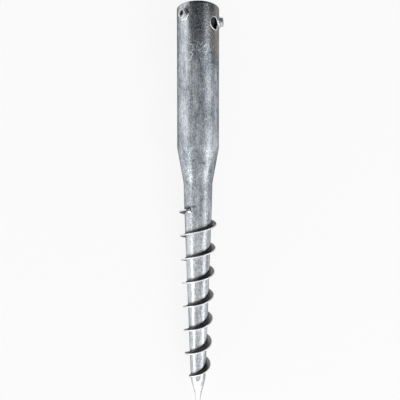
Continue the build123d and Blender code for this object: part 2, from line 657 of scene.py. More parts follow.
def spangle_group() -> bpy.types.NodeTree:
    """Zinc crystals: cells of two sizes, each with its own shade, with bent borders."""
    small_to_large, border_bend = 2.7, 0.006
    group = GroupBuilder("zinc_spangle")
    vector = group.takes_vector("Vector")
    density = group.takes("Density", 220.0)
    spread = group.takes("Spread", 0.5)
    warp = group.node("ShaderNodeTexNoise", {"Vector": vector, "Scale": 160.0, "Detail": 3.0})
    ends = {0: border_bend, 4: vector, 5: warp.outputs["Color"]}
    bent = group.node("ShaderNodeMix", ends, data_type="VECTOR").outputs[1]
    cells = {"Vector": bent, "Scale": density, "Smoothness": 0.25}
    large = group.node("ShaderNodeTexVoronoi", cells, feature="SMOOTH_F1")
    fine_density = group.math("MULTIPLY", density, small_to_large)
    cells = {"Vector": bent, "Scale": fine_density}
    small = group.node("ShaderNodeTexVoronoi", cells, feature="F1")
    both = group.shares(
        (group.channel(large.outputs["Color"], 0), 0.6),
        (group.channel(small.outputs["Color"], 1), 0.4),
    )
    centred = group.math("MULTIPLY", group.math("SUBTRACT", both, 0.5), spread)
    group.gives("Shade", group.math("ADD", centred, 0.5, clamp=True))
    return group.tree


def mottle_group() -> bpy.types.NodeTree:
    """Cloudy variation in the coating."""
    group = GroupBuilder("zinc_mottle")
    vector = group.takes_vector("Vector")
    scale = group.takes("Scale", 40.0)
    low = group.takes("Low", 0.35)
    high = group.takes("High", 0.65)
    inputs = {"Vector": vector, "Scale": scale, "Detail": 6.0, "Roughness": 0.62}
    cloud = group.node("ShaderNodeTexNoise", inputs)
    group.gives("Fac", group.remap(cloud.outputs["Fac"], From_Min=low, From_Max=high))
    return group.tree


def vein_group() -> bpy.types.NodeTree:
    """Thin wandering lines where wet zinc ran and set."""
    group = GroupBuilder("zinc_veins")
    vector = group.takes_vector("Vector")
    scale = group.takes("Scale", 90.0)
    width = group.takes("Width", 0.036)
    inputs = {"Vector": vector, "Scale": scale, "Detail": 2.5, "Distortion": 0.8}
    height = group.node("ShaderNodeTexNoise", inputs)
    away = group.math("ABSOLUTE", group.math("SUBTRACT", height.outputs["Fac"], 0.5), 0.0)
    line = group.math("SUBTRACT", 1.0, group.math("DIVIDE", away, width), clamp=True)
    group.gives("Fac", line)
    return group.tree


@dataclass(frozen=True)
class CoatColours:
    """Linear colours that every galvanised surface of the screw shares."""

    # Painted highlight: towards the point the coat's dark and light ends move to these.
    highlight_dark: tuple[float, ...] = (0.5, 0.52, 0.55, 1.0)
    highlight_light: tuple[float, ...] = (0.96, 0.97, 0.98, 1.0)
    brown: tuple[float, ...] = (0.5, 0.43, 0.35, 1.0)
    # Painted shade beside the flight and the nuts, and the darker patch of the socket, take this
    # colour.
    shade_dark: tuple[float, ...] = (0.08, 0.08, 0.08, 1.0)
    # Painted shade: the near-black colour of the socket's hollow and the nuts' bores.
    hollow: tuple[float, ...] = (0.05, 0.055, 0.055, 1.0)
    brown_share: float = 0.85
    vein_everywhere: float = 0.06
    vein_strength: float = 1.3


def coat_group(colours: CoatColours) -> bpy.types.NodeTree:
    """Join crystals, clouds and grain into a coating, and colour it where the mesh is marked.

    Args:
        colours: The colours of the marked places.

    Returns:
        The node group.
    """
    group = GroupBuilder("zinc_coat")
    crystals = group.takes("Crystals", 0.5)
    clouds = group.takes("Clouds", 0.5)
    grain = group.takes("Grain", 0.5)
    dark = group.takes_colour("Dark")
    light = group.takes_colour("Light")
    edge = group.takes_colour("Edge")
    smoothest = group.takes("Smoothest", 0.25)
    roughest = group.takes("Roughest", 0.4)
    wave = group.takes("Wave", 0.3)
    contrast = group.takes("Contrast", 0.25)
    streaks = group.takes("Streaks", 1.0)
    veins = group.takes("Veins", 0.0)
    even = group.shares((crystals, 0.25), (clouds, 0.4), (grain, 0.35))
    sharper = group.remap(
        even,
        From_Min=group.math("SUBTRACT", 0.5, contrast),
        From_Max=group.math("ADD", 0.5, contrast),
    )
    runs = group.math("ADD", group.mark("zinc_runs"), colours.vein_everywhere)
    vein = group.math("MULTIPLY", veins, runs, clamp=True)
    pattern = group.math(
        "MAXIMUM",
        group.math("MULTIPLY", sharper, streaks),
        group.math("MULTIPLY", vein, colours.vein_strength),
    )
    stain = group.math("MULTIPLY", group.mark("brown_stain"), colours.brown_share)
    # Painted highlight: lighter coat towards the point.
    highlight_mark = group.mark("painted_point_highlight")
    colour = group.blend(
        pattern,
        group.blend(highlight_mark, dark, colours.highlight_dark),
        group.blend(highlight_mark, group.blend(stain, light, colours.brown), colours.highlight_light),
    )
    # Painted shade beside the flight and the nuts, and the darker socket patch.
    colour = group.blend(group.mark("painted_shade_and_dark_patch"), colour, colours.shade_dark)
    # Painted highlight along the flight's outer edge.
    colour = group.blend(group.mark("painted_edge_highlight"), colour, edge)
    # Painted shade inside the socket's hollow and the nuts' bores.
    colour = group.blend(group.mark("painted_hollow_shade"), colour, colours.hollow)
    group.gives("Color", colour, "NodeSocketColor")
    group.gives("Roughness", group.remap(pattern, To_Min=smoothest, To_Max=roughest))
    group.gives("Height", group.math("ADD", pattern, group.math("MULTIPLY", clouds, wave)))
    return group.tree


@dataclass(frozen=True)
class ZincFinish:
    """One hot-dip galvanised surface.

    Attributes:
        name: Name of the material.
        dark: Linear colour of the darkest coating.
        light: Linear colour of the brightest coating.
        roughness: Range of roughness, smoothest to roughest.
        spangle: Crystals per metre.
        spangle_spread: How far the crystals differ.
        cloud: Scale of the cloudy variation.
        grain: Strength of the fine bump.
        wave: Strength of the slow waves in the coating.
        edge: Colour of the painted highlight where the mesh's painted_edge_highlight attribute is
            one.
        grazing: How much of its brightness the coat keeps at a grazing angle.
        contrast: Half the range of the pattern that spans dark to light.
        streaks: How much the dark streaks along the axis take away.
        streak_scale: Streaks per metre round the tube.
        streak_stretch: Scale of the streaks along the screw.
        cloud_stretch: Scale of the clouds along the screw.
        grain_finer: How many times finer the grain is than the clouds.
        grain_depth: Depth of the bump.
    """

    name: str
    dark: tuple[float, float, float]
    light: tuple[float, float, float]
    roughness: tuple[float, float] = (0.22, 0.36)
    spangle: float = 230.0
    spangle_spread: float = 1.0
    cloud: float = 45.0
    grain: float = 0.5
    wave: float = 0.35
    edge: tuple[float, float, float] = (0.86, 0.87, 0.89)
    grazing: float = 0.35
    contrast: float = 0.3
    streaks: float = 0.4
    streak_scale: float = 420.0
    streak_stretch: float = 0.05
    cloud_stretch: float = 0.35
    grain_finer: float = 16.0
    grain_depth: float = 0.4 * MM

    def build(self, effects: dict[str, bpy.types.NodeTree]) -> bpy.types.Material:
        """Make the material.

        Args:
            effects: The shared node groups by name.

        Returns:
            The new material.
        """
        material = bpy.data.materials.new(self.name)
        material.use_nodes = True
        kit = NodeKit(material.node_tree)
        shader = kit.tree.nodes["Principled BSDF"]
        shader.inputs["Metallic"].default_value = 1.0
        shader.inputs["Specular Tint"].default_value = (*[self.grazing] * 3, 1.0)
        place = kit.node("ShaderNodeTexCoord").outputs["Object"]
        along = kit.drawn_out(place, self.cloud_stretch)
        drawn = kit.drawn_out(place, self.streak_stretch)
        mottle = effects["mottle"]
        spangle = kit.effect(
            effects["spangle"], Vector=place, Density=self.spangle, Spread=self.spangle_spread
        )
        cloud = kit.effect(mottle, Vector=along, Scale=self.cloud)
        finer = self.cloud * self.grain_finer
        fine = kit.effect(mottle, Vector=along, Scale=finer, Low=0.3, High=0.7)
        streak = kit.effect(mottle, Vector=drawn, Scale=self.streak_scale, Low=0.36, High=0.54)
        coat = kit.effect(
            effects["coat"],
            Crystals=spangle.outputs["Shade"],
            Clouds=cloud.outputs["Fac"],
            Grain=fine.outputs["Fac"],
            Streaks=kit.remap(streak.outputs["Fac"], To_Min=1.0 - self.streaks),
            Veins=kit.effect(effects["veins"], Vector=place).outputs["Fac"],
            Contrast=self.contrast,
            Dark=(*self.dark, 1.0),
            Light=(*self.light, 1.0),
            Edge=(*self.edge, 1.0),
            Smoothest=self.roughness[0],
            Roughest=self.roughness[1],
            Wave=self.wave,
        ).outputs
        relief = {"Strength": self.grain, "Distance": self.grain_depth, "Height": coat["Height"]}
        bump = kit.node("ShaderNodeBump", relief).outputs["Normal"]
        surface = {"Base Color": coat["Color"], "Roughness": coat["Roughness"], "Normal": bump}
        for name, source in surface.items():
            feed(kit.tree, shader.inputs[name], source)
        return material


FINISHES = {
    "tube": ZincFinish(
        "tube_zinc_look", (0.14, 0.168, 0.195), (0.8, 0.845, 0.89), (0.14, 0.26), contrast=0.31
    ),
    # Painted shade and painted dark reflection: the flight's faces take a far darker coat than the
    # tube.
    "flight": ZincFinish(
        "flight_zinc_painted_shade", (0.12, 0.122, 0.126), (0.4, 0.4, 0.405), (0.32, 0.5)
    ),
    "nut": ZincFinish(
        "nut_zinc_look", (0.35, 0.36, 0.38), (0.92, 0.93, 0.95), spangle=420.0, wave=0.1
    ),
    "bead": ZincFinish(
        "bead_zinc_look", (0.6, 0.61, 0.63), (0.95, 0.96, 0.97), (0.2, 0.32), spangle=500.0
    ),
    # Painted shade: the root bead takes a near-black copy of the beads' coat.
    "root": ZincFinish(
        "root_bead_painted_shade", (0.03, 0.03, 0.03), (0.22, 0.215, 0.21), (0.3, 0.45), spangle=500.0
    ),
}


def build_finishes() -> dict[str, bpy.types.Material]:
    """Make the shared effects and every finish of the screw."""
    effects = {
        "spangle": spangle_group(),
        "mottle": mottle_group(),
        "veins": vein_group(),
        "coat": coat_group(CoatColours()),
    }
    return {name: finish.build(effects) for name, finish in FINISHES.items()}


# ---------------------------------------------------------------------------
# Pieces
# ---------------------------------------------------------------------------


@dataclass(frozen=True)
class Patch:
    """A soft oval patch on the tube.

    Attributes:
        x: Station of its middle.
        azimuth: Azimuth of its middle in degrees.
        half_length: Half its length along the axis.
        half_width: Half its width in degrees.
        fade: How steeply it fades to its rim.
    """

    x: float
    azimuth: float
    half_length: float
    half_width: float
    fade: float = 3.0

    def moved(self, x: float, azimuth: float) -> Patch:
        """The same patch, moved along and round the tube."""
        return Patch(self.x + x, self.azimuth + azimuth, self.half_length, self.half_width)

    def weight(self, x: float, azimuth: float) -> float:
        """How far a point lies in the patch.

        Args:
            x: Station of the point.
            azimuth: Its azimuth in degrees.

        Returns:
            One in the middle, falling to zero at the rim.
        """
        turn = turn_from(self.azimuth, azimuth)
        away = math.hypot((x - self.x) / self.half_length, turn / self.half_width)
        return unit((1.0 - away) * self.fade)


@dataclass
class ShaftTube:
    """The tube from mouth to forged point, with its holes.

    Attributes:
        sizes: Driving sizes.
        bar_hole: Station, azimuth and radius of the driving-bar hole.
        nut_seats: Station and azimuth of each clamp nut.
        clamp_hole_radius: Radius of the clearance hole under each nut.
        turns: Steps in the full turn of the skin.
        rim_round: Rounding of the mouth's rim.
        hammer_depth: Depth of the uneven hammering of the point.
        hammer_scale: Dents per metre.
        hammer_reach: How far before the point the hammering starts.
        hammer_fade: Length over which it comes in.
        seams: Azimuths in degrees of the creases that the forging dies leave.
        seam_depth: Depth of a crease.
        seam_width: Half width of a crease in degrees.
        stain: Brown stain on the socket.
        socket_dark_patch: Patch of the socket where the coat is darker.
        socket_dark_share: How much darker it is there.
        runs: Patch where the zinc set in runs.
        nut_shade: Painted shade on the tube beside a nut's weld, on its mouth side, measured from
            the nut.
        nut_shade_share: How dark the painted shade is there.
        flight_shadow_share: How dark the painted shadow of the flight makes the shaft beside its
            weld.
        flight_shadow_reach: How far that painted shadow goes from the flight, towards the mouth.
        flight_shadow_fade: Length over which it fades.
        shaft_highlight: Length of shaft over which the coat is painted lighter, as a highlight.
        point_highlight: Length of point over which the painted highlight grows lighter still.
    """

    sizes: ScrewSizes
    bar_hole: tuple[float, float, float]
    nut_seats: list[tuple[float, float]]
    clamp_hole_radius: float = 4.5 * MM
    turns: int = 144
    rim_round: float = 1.1 * MM
    hammer_depth: float = 0.4 * MM
    hammer_scale: float = 110.0
    hammer_reach: float = 6.0 * MM
    hammer_fade: float = 12.0 * MM
    seams: tuple[float, float] = (-52.0, 128.0)
    seam_depth: float = 0.35 * MM
    seam_width: float = 9.0
    stain: Patch = Patch(25.0 * MM, 34.0, 75.0 * MM, 34.0)
    socket_dark_patch: Patch = Patch(24.0 * MM, -25.0, 56.0 * MM, 27.0)
    socket_dark_share: float = 0.45
    runs: Patch = Patch(76.0 * MM, -26.0, 24.0 * MM, 34.0)
    # Painted shade on the tube just beside each nut's weld, on its mouth side.
    nut_shade: Patch = Patch(-8.5 * MM, 10.0, 5.5 * MM, 10.0)
    nut_shade_share: float = 0.8
    # Painted shadow of the flight on the shaft, on the mouth side of its weld.
    flight_shadow_share: float = 0.85
    flight_shadow_reach: float = 6.5 * MM
    flight_shadow_fade: float = 3.0 * MM
    # Painted highlight: the coat is made lighter from the neck towards the point.
    shaft_highlight: float = 90.0 * MM
    point_highlight: float = 14.0 * MM

    def outline(self) -> list[Vector]:
        """Outline from the nose over the outside, round the rim and back along the hollow."""
        z = self.sizes
        inner = z.tube_radius - z.tube_wall
        outside = [
            (z.length, 0.0, 0.0),
            (z.length, z.nose_radius, z.nose_round),
            (z.nose_x, z.cone_end_radius, 20.0 * MM),
            (z.point_x, z.taper_end_radius, z.point_blend),
            (z.taper_x, z.neck_end_radius, 60.0 * MM),
            (z.neck_x, z.neck_radius, z.neck_blend),
            (z.socket_length, z.tube_radius, z.shoulder_blend),
            (0.0, z.tube_radius, self.rim_round),
            (0.0, inner, self.rim_round),
            (z.socket_length, inner, z.shoulder_blend),
            (z.neck_x, z.neck_radius - z.shaft_wall, z.neck_blend),
            (z.point_x, z.taper_end_radius - z.shaft_wall, 6.0 * MM),
            (z.point_x, 0.0, 0.0),
        ]
        return rounded_outline(outside, 2.5 * MM)

    def forge_point(self, bm: bmesh.types.BMesh) -> None:
        """Leave the point unevenly hammered, with the shallow creases of the forging dies.

        Args:
            bm: The tube's mesh on its own axis.
        """
        z = self.sizes
        centre_skipped = 0.3 * MM
        for vert in bm.verts:
            reach = Vector((0.0, vert.co.y, vert.co.z))
            if vert.co.x < z.point_x - self.hammer_reach or reach.length < centre_skipped:
                continue
            strength = unit((vert.co.x - z.point_x) / self.hammer_fade + 0.5)
            dent = noise.noise(vert.co * self.hammer_scale) * self.hammer_depth
            azimuth = azimuth_of(vert.co)
            for seam in self.seams:
                away = abs(turn_from(seam, azimuth)) / self.seam_width
                dent -= self.seam_depth * math.exp(-(away**2))
            vert.co += reach.normalized() * dent * strength

    def build(self, rest: RestFrame, material: bpy.types.Material) -> bpy.types.Object:
        """Make the tube.

        Args:
            rest: Where the screw lies.
            material: The tube's finish.

        Returns:
            The finished piece.
        """
        bm = spin_outline(self.outline(), self.turns)
        self.forge_point(bm)
        obj = to_object("shaft_tube_skin", bm, material)
        x, azimuth, radius = self.bar_hole
        through_both_walls = self.sizes.tube_radius * 2.4
        through_one_wall = self.sizes.tube_wall * 5
        cutters = [rod(radius, through_both_walls, seat(x, azimuth, 0.0))]
        for nut_x, nut_azimuth in self.nut_seats:
            place = seat(nut_x, nut_azimuth, self.sizes.tube_radius)
            cutters.append(rod(self.clamp_hole_radius, through_one_wall, place, 48))
        cut(obj, cutters)
        bm = bmesh.new()
        bm.from_mesh(obj.data)
        self.mark_coat(bm)
        rest.place(bm)
        bm.to_mesh(obj.data)
        bm.free()
        return hand_on(obj, Slot.TUBE, "shaft_tube")

    def mark_coat(self, bm: bmesh.types.BMesh) -> None:
        """Mark the painted shade in the hollow, the brown stain, the runs of zinc, the painted
        highlight towards the point, and the painted shade beside the flight and the nuts together
        with the darker patch of the socket.

        Towards the point the coat is painted lighter, as a highlight.

        Args:
            bm: The tube's mesh on its own axis.
        """
        z = self.sizes
        names = ("painted_hollow_shade", "brown_stain", "zinc_runs", "painted_point_highlight", "painted_shade_and_dark_patch")
        inside, stain, runs, highlight_mark, darkening = [bm.verts.layers.float.new(name) for name in names]
        hollow_radius = z.tube_radius - z.tube_wall + 0.05 * MM
        hollow_start = 3.0 * MM
        nut_shades = [self.nut_shade.moved(*nut_seat) for nut_seat in self.nut_seats]
        for vert in bm.verts:
            x, azimuth = vert.co.x, azimuth_of(vert.co)
            radius = math.hypot(vert.co.y, vert.co.z)
            hollow = hollow_start < x < z.socket_length and radius < hollow_radius
            # Painted shade inside the socket's hollow.
            vert[inside] = 1.0 if hollow else 0.0
            vert[stain] = self.stain.weight(x, azimuth)
            vert[runs] = self.runs.weight(x, azimuth)
            # Painted highlight, growing from the neck towards the point.
            shaft_highlight = unit((x - z.neck_x) / self.shaft_highlight)
            point_highlight = unit((x - z.point_x) / self.point_highlight + 0.5)
            vert[highlight_mark] = 0.5 * shaft_highlight + 0.5 * point_highlight
            # Painted shadow beside the flight, painted shade beside the nuts, and the darker
            # socket patch.
            vert[darkening] = max(
                self.flight_shadow(x, azimuth),
                self.nut_shade_share * max(shade_patch.weight(x, azimuth) for shade_patch in nut_shades),
                self.socket_dark_share * self.socket_dark_patch.weight(x, azimuth),
            )

    def flight_shadow(self, x: float, azimuth: float) -> float:
        """How much painted shadow of the flight, with the painted reflection of its dark face,
        lies on the shaft at a point.

        Args:
            x: Station of the point.
            azimuth: Its azimuth in degrees.

        Returns:
            The full share beside the weld, falling to zero a little way towards the mouth.
        """
        z = self.sizes
        before_start = 6.0 * MM
        if not z.flight_x - before_start < x < z.flight_end_x:
            return 0.0
        turn = (z.flight_start_azimuth - azimuth) / 360.0
        face = z.flight_x - z.flight_thickness + z.flight_pitch * turn
        ahead = (face - x) % z.flight_pitch
        return self.flight_shadow_share * unit(
            (self.flight_shadow_reach - ahead) / self.flight_shadow_fade
        )


@dataclass
class HoleLip:
    """Thick rim of zinc that gathers round a cross hole when the tube is dipped.

    Attributes:
        x: Station of the hole.
        azimuth: Azimuth of the hole in degrees.
        hole_radius: Radius of the hole.
        tube_radius: Outer radius of the tube.
        thickness: Radius of the rim's round section.
        overlap: How far its middle lies outside the hole's edge, in thicknesses.
        sink: How far its middle lies below the tube's surface, in thicknesses.
        steps: Steps in the full turn.
    """

    x: float
    azimuth: float
    hole_radius: float
    tube_radius: float
    thickness: float = 0.95 * MM
    overlap: float = 0.35
    sink: float = 0.15
    steps: int = 96

    def build(
        self, name: str, rest: RestFrame, material: bpy.types.Material
    ) -> bpy.types.Object:
        """Make one lip.

        Args:
            name: Name of the piece.
            rest: Where the screw lies.
            material: Its finish.

        Returns:
            The finished piece.
        """
        outwards = self.hole_radius + self.thickness * self.overlap
        middle = Vector((outwards, 0.0, -self.thickness * self.sink))
        bm = spin_ring(self.thickness, 14, middle, self.steps)
        roughen(bm, scale=220.0, depth=0.25 * MM)
        bmesh.ops.recalc_face_normals(bm, faces=bm.faces)
        wrap_on_tube(bm, self.tube_radius)
        place = seat(self.x, self.azimuth, self.tube_radius)
        bmesh.ops.transform(bm, matrix=place, verts=bm.verts)
        return lay_down(name, bm, rest, material, Slot.WELD)


def helix_sweep(
    section: list[Vector], azimuth: float, pitch: float, turns: float, steps_per_turn: int
) -> bmesh.types.BMesh:
    """Sweep a closed section along a right-handed helix about the screw's axis.

    Args:
        section: Corners with y zero, x along the axis and z the radius.
        azimuth: Azimuth in degrees at which the sweep starts.
        pitch: Advance in one turn, towards the point.
        turns: Number of turns.
        steps_per_turn: Steps in one turn.

    Returns:
        The closed band.
    """
    bm = bmesh.new()
    turn = Matrix.Rotation(-math.radians(azimuth), 4, "X")
    verts = [bm.verts.new(turn @ corner) for corner in section]
    face = bm.faces.new(verts)
    steps = round(steps_per_turn * turns)
    bmesh.ops.spin(
        bm,
        geom=[face],
        cent=(0.0, 0.0, 0.0),
        axis=AXIS,
        dvec=(pitch * turns / steps, 0.0, 0.0),
        angle=math.tau * turns,
        steps=steps,
        use_merge=False,
        use_duplicate=False,
    )
    bmesh.ops.recalc_face_normals(bm, faces=bm.faces)
    return bm


def wind_on(section: list[Vector], sizes: ScrewSizes, steps_per_turn: int) -> bmesh.types.BMesh:
    """Sweep a section along the flight's own helix.

    Args:
        section: Corners of the section, set against the neck.
        sizes: Driving sizes.
        steps_per_turn: Steps in one turn.

    Returns:
        The closed band.
    """
    start, pitch, turns = sizes.flight_start_azimuth, sizes.flight_pitch, sizes.flight_turns
    return helix_sweep(section, start, pitch, turns, steps_per_turn)


@dataclass
class HelicalFlight:
    """The steel strip wound on the taper, with its edges softened by zinc.

    Attributes:
        sizes: Driving sizes.
        edge_round: Rounding of the outer corners.
        root_sink: How far the root stands in the shaft.
        wander: How far the outer edge waves in and out.
        highlight_from: Height, as a share of the width, above which the outer edge carries a
            painted highlight.
        steps_per_turn: Steps in one turn.
    """

    sizes: ScrewSizes
    edge_round: float = 0.7 * MM
    root_sink: float = 0.3 * MM
    wander: float = 0.35 * MM
    highlight_from: float = 0.9
    steps_per_turn: int = 110

    def section(self) -> list[Vector]:
        """Section of the strip, from the root on one face round the edge to the other."""
        z = self.sizes
        edge = self.edge_round
        inner = z.neck_end_radius - self.root_sink
        outer = z.neck_end_radius + z.flight_width
        low, high = z.flight_x - z.flight_thickness, z.flight_x
        shares = (0.0, 0.35, 0.7, 0.88)
        corners = [(low, inner + (outer - inner) * share) for share in shares]
        for middle, start in ((low + edge, math.pi), (high - edge, math.pi / 2)):
            for k in range(5):
                angle = start - k * math.pi / 8
                radius = outer - edge + edge * math.sin(angle)
                corners.append((middle + edge * math.cos(angle), radius))
        corners += [(high, inner + (outer - inner) * share) for share in reversed(shares)]
        return [Vector((x, 0.0, radius)) for x, radius in corners]

    def settle(self, bm: bmesh.types.BMesh) -> None:
        """Bring the band down onto the taper and narrow its lower end."""
        z = self.sizes
        in_and_out, to_and_fro = 45.0, 38.0
        elsewhere = Vector((7.0, 3.0, 1.0))
        # Painted highlight: mark the flight's outer edge to take a near-white coat.
        edge_highlight = bm.verts.layers.float.new("painted_edge_highlight")
        for vert in bm.verts:
            radius = math.hypot(vert.co.y, vert.co.z)
            height = (radius - z.neck_end_radius) / z.flight_width
            vert[edge_highlight] = 1.0 if height > self.highlight_from else 0.0
            reach = z.flight_reach(vert.co.x)
            wave = noise.noise(vert.co * in_and_out) * self.wander * height
            scale = (z.taper_radius(vert.co.x) + height * reach + wave) / radius
            vert.co.y *= scale
            vert.co.z *= scale
            vert.co.x += noise.noise(vert.co * to_and_fro + elsewhere) * self.wander * height

    def build(self, rest: RestFrame, material: bpy.types.Material) -> bpy.types.Object:
        """Make the flight.

        Args:
            rest: Where the screw lies.
            material: The flight's finish.

        Returns:
            The finished piece.
        """
        bm = wind_on(self.section(), self.sizes, self.steps_per_turn)
        self.settle(bm)
        name, node = "helical_flight_strip", "helical_flight"
        return lay_down(name, bm, rest, material, Slot.FLIGHT, node, sharp=50.0)


@dataclass
class RootWeld:
    """Fillet weld along the mouth side of the flight's root, laid in ripples.

    Attributes:
        sizes: Driving sizes.
        hollow: Leg of the fillet's flattest line, as a share of the full leg.
        bulge: How much fuller it is in the middle.
        sink: How far the bead stands in the shaft.
        overlap: How far it stands in the flight.
        ripple: Height of a ripple.
        ripple_length: Length of a ripple.
        unevenness: Height of the bead's slower lumps.
        steps_per_turn: Steps in one turn.
    """

    sizes: ScrewSizes
    hollow: float = 0.86
    bulge: float = 0.1
    sink: float = 0.2 * MM
    overlap: float = 0.1 * MM
    ripple: float = 0.22 * MM
    ripple_length: float = 3.2 * MM
    unevenness: float = 0.3 * MM
    steps_per_turn: int = 150

    def section(self) -> list[Vector]:
        """Section of the bead, a rounded fillet between shaft and flight."""
        z = self.sizes
        face = z.flight_x - z.flight_thickness
        root = z.neck_end_radius
        steps = 6
        corners = [(face + self.sink, root - self.sink)]
        for k in range(steps + 1):
            angle = math.pi / 2 * k / steps
            leg = z.weld_leg * (self.hollow + self.bulge * math.sin(2 * angle))
            x = face - leg * math.sin(angle) + self.overlap
            corners.append((x, root + leg * math.cos(angle)))
        corners.append((face - z.weld_leg * self.hollow, root - self.sink))
        return [Vector((x, 0.0, radius)) for x, radius in corners]

    def settle(self, bm: bmesh.types.BMesh) -> None:
        """Bring the bead down onto the taper and ripple its face."""
        z = self.sizes
        path_per_x = math.tau * z.neck_end_radius * 0.8 / z.flight_pitch
        for vert in bm.verts:
            radius = math.hypot(vert.co.y, vert.co.z)
            height = radius - z.neck_end_radius
            sway = noise.noise(vert.co * 60.0) * 2.0
            wave = math.sin(vert.co.x * path_per_x / self.ripple_length * math.tau + sway)
            lumps = noise.noise(vert.co * 120.0) * self.unevenness
            swell = 1.0 + (wave * self.ripple + lumps) / z.weld_leg
            target = z.taper_radius(vert.co.x) + (height * swell if height > 0.0 else height)
            vert.co.y *= target / radius
            vert.co.z *= target / radius

    def build(self, rest: RestFrame, material: bpy.types.Material) -> bpy.types.Object:
        """Make the bead.

        Args:
            rest: Where the screw lies.
            material: The bead's finish.

        Returns:
            The finished piece.
        """
        bm = wind_on(self.section(), self.sizes, self.steps_per_turn)
        self.settle(bm)
        name, node = "flight_root_bead", "flight_root_weld"
        return lay_down(name, bm, rest, material, Slot.WELD, node, sharp=60.0)


@dataclass
class StartNugget:
    """Lump of weld that closes the upper end of the flight.

    Attributes:
        sizes: Driving sizes.
        radius: Radius of the lump on the shaft.
        fullness: Its height, as a share of the radius.
    """

    sizes: ScrewSizes
    radius: float = 4.4 * MM
    fullness: float = 0.8

    def build(self, rest: RestFrame, material: bpy.types.Material) -> bpy.types.Object:
        """Make the lump.

        Args:
            rest: Where the screw lies.
            material: Its finish.

        Returns:
            The finished piece.
        """
        z = self.sizes
        x = z.flight_x - z.flight_thickness + self.radius
        bm = bmesh.new()
        bmesh.ops.create_icosphere(bm, subdivisions=5, radius=self.radius)
        bmesh.ops.scale(bm, vec=(1.0, 1.0, self.fullness), verts=bm.verts)
        roughen(bm, scale=260.0, depth=0.8 * MM)
        place = seat(x, z.flight_start_azimuth, z.taper_radius(x))
        bmesh.ops.transform(bm, matrix=place, verts=bm.verts)
        name, node = "flight_start_nugget", "flight_start_weld"
        return lay_down(name, bm, rest, material, Slot.WELD, node)


